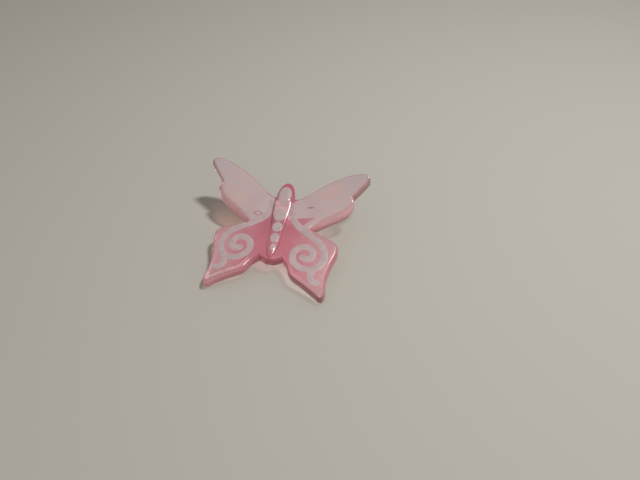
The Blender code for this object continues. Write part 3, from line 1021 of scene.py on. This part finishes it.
def white_ink(rest):
    nodes = Nodes("white_ink")
    _, _, vector = place_of(nodes, rest)
    cloud = nodes.noise(vector, scale=900.0, detail=3.0)
    nodes.set(Base_Color=nodes.mix(nodes.grow(cloud, NOISE_SPAN), INK_SHADE, INK_LIGHT))
    nodes.set(Roughness=0.25, Coat_Weight=0.6, Coat_Roughness=0.15)
    nodes.bump(nodes.noise(vector, scale=1500.0), distance=0.00002, strength=0.15)
    return nodes.material


def thin_ink(rest):
    """The forewings' film: solid at the root and the tip, with soft pink streaks between."""
    nodes = Nodes("thin_streaked_ink")
    side, ahead, _ = place_of(nodes, rest)
    out = nodes.maths("SUBTRACT", nodes.maths("ABSOLUTE", side), STREAK_CENTRE[0])
    forward = nodes.maths("SUBTRACT", ahead, STREAK_CENTRE[1])
    angle = nodes.maths("ARCTAN2", forward, out)
    reach = nodes.length(out, forward)
    spot = nodes.add(
        "CombineXYZ", nodes.times(angle, STREAKS_ROUND), nodes.times(reach, STREAKS_OUT),
        nodes.times(nodes.maths("SIGN", side), STREAK_SIDES),
    ).outputs[0]
    streak = nodes.grow(nodes.noise(spot, scale=1.0, detail=1.5), STREAK_SPAN)
    root = nodes.fade(reach, ROOT_REACH)
    tip = nodes.grow(reach, TIP_REACH)
    thick = nodes.maths("MAXIMUM", streak, nodes.maths("MAXIMUM", root, tip))
    colour = nodes.mix(root, nodes.mix(thick, VEIL_SHADE, VEIL_LIGHT), INK_LIGHT)
    dash = nodes.fade(nodes.egg(side, ahead, DASH_PLACE, DASH_HALF, DASH_TURN), DASH_EDGE)
    window = nodes.lozenge(side, ahead, WINDOW_PLACE, WINDOW_HALF)
    aside = nodes.maths("ABSOLUTE", nodes.maths("SUBTRACT", window, WINDOW_LINE))
    line = nodes.fade(aside, WINDOW_LINE_EDGE, WINDOW_STRENGTH)
    colour = nodes.mix(nodes.maths("MAXIMUM", dash, line), colour, VEIL_MARK)
    cover = nodes.maths("MAXIMUM", nodes.spread(thick, (0.0, 1.0), VEIL_ALPHAS), root)
    nodes.set(Base_Color=colour, Roughness=0.28, Alpha=cover)
    return nodes.material


def soft_rubber(rest):
    nodes = Nodes("soft_clear_rubber")
    _, _, vector = place_of(nodes, rest)
    cloud = nodes.noise(vector, scale=500.0)
    nodes.set(Base_Color=nodes.mix(cloud, RUBBER_DEEP, RUBBER_PALE), Roughness=0.35)
    nodes.set(Subsurface_Weight=0.6, Subsurface_Scale=0.001, Transmission_Weight=0.3)
    return nodes.material


def floor_material():
    nodes = Nodes("pale_table")
    nodes.set(Base_Color=(*TABLE_COLOUR, 1.0), Roughness=0.9)
    nodes.put(nodes.shader.inputs["Specular IOR Level"], 0.2)
    return nodes.material


# The scene


def dressed(thing, material, rest, slot, *nodes):
    """Gives a piece its look, its resting place and the CAD nodes that it stands for."""
    thing.data.materials.clear()
    thing.data.materials.append(material)
    thing.data.shade_smooth()
    thing.data.set_sharp_from_angle(angle=SHARP_ANGLE)
    thing.data.transform(rest)
    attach(thing, "root")
    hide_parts(*nodes)
    return thing


def add_floor():
    mesh = bpy.data.meshes.new("table_top")
    mesh.from_pydata([(x, y, 0) for x, y in square(FLOOR_REACH)], [], [(0, 1, 2, 3)])
    floor = link("table_top", mesh)
    mesh.materials.append(floor_material())


def add_light():
    """A window to the right, and the room's soft light all round."""
    lamp = bpy.data.lights.new("window", "AREA")
    lamp.shape = "RECTANGLE"
    lamp.size, lamp.size_y = KEY_WIDTH, KEY_HEIGHT
    lamp.energy = KEY_POWER
    thing = link("window", lamp)
    aim = Vector(KEY_COURSE).normalized()
    thing.location = aim * KEY_DISTANCE
    thing.rotation_euler = aim.to_track_quat("Z", "Y").to_euler()
    thing.visible_transmission = False
    world = bpy.data.worlds.new("room")
    world.use_nodes = True
    background = world.node_tree.nodes["Background"]
    background.inputs["Strength"].default_value = ROOM_LIGHT
    background.inputs["Color"].default_value = (1.0, 1.0, 1.0, 1.0)
    bpy.context.scene.world = world
    bpy.context.scene.view_settings.view_transform = "Standard"


def add_camera():
    camera = bpy.data.cameras.new("camera")
    camera.sensor_width = 36
    camera.lens = CAMERA_LENS
    camera.clip_start = 0.001
    thing = link("camera", camera)
    thing.location = CAMERA_PLACE
    thing.rotation_euler = Vector(CAMERA_COURSE).to_track_quat("-Z", "Y").to_euler()
    bpy.context.scene.camera = thing


def ground_of(thing):
    return BVHTree.FromObject(thing, bpy.context.evaluated_depsgraph_get())


def main():
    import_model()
    moulding = shield()
    soft_teat = teat()
    rest = resting(soft_teat)
    bpy.context.view_layer.update()
    looks = {
        "veil": (thin_ink(rest), "thin_white_print"),
        "white": (white_ink(rest), "white_print"),
    }
    for piece, ink, nodes in prints(ground_of(moulding)):
        material, slot = looks[ink]
        dressed(piece, material, rest, slot, *nodes)
        piece.visible_shadow = False
    dressed(moulding, clear_plastic(rest), rest, "clear_pink_plastic", "butterfly_shield")
    dressed(soft_teat, soft_rubber(rest), rest, "clear_soft_rubber", "teat")
    add_floor()
    add_light()
    add_camera()
    bpy.context.view_layer.update()


main()
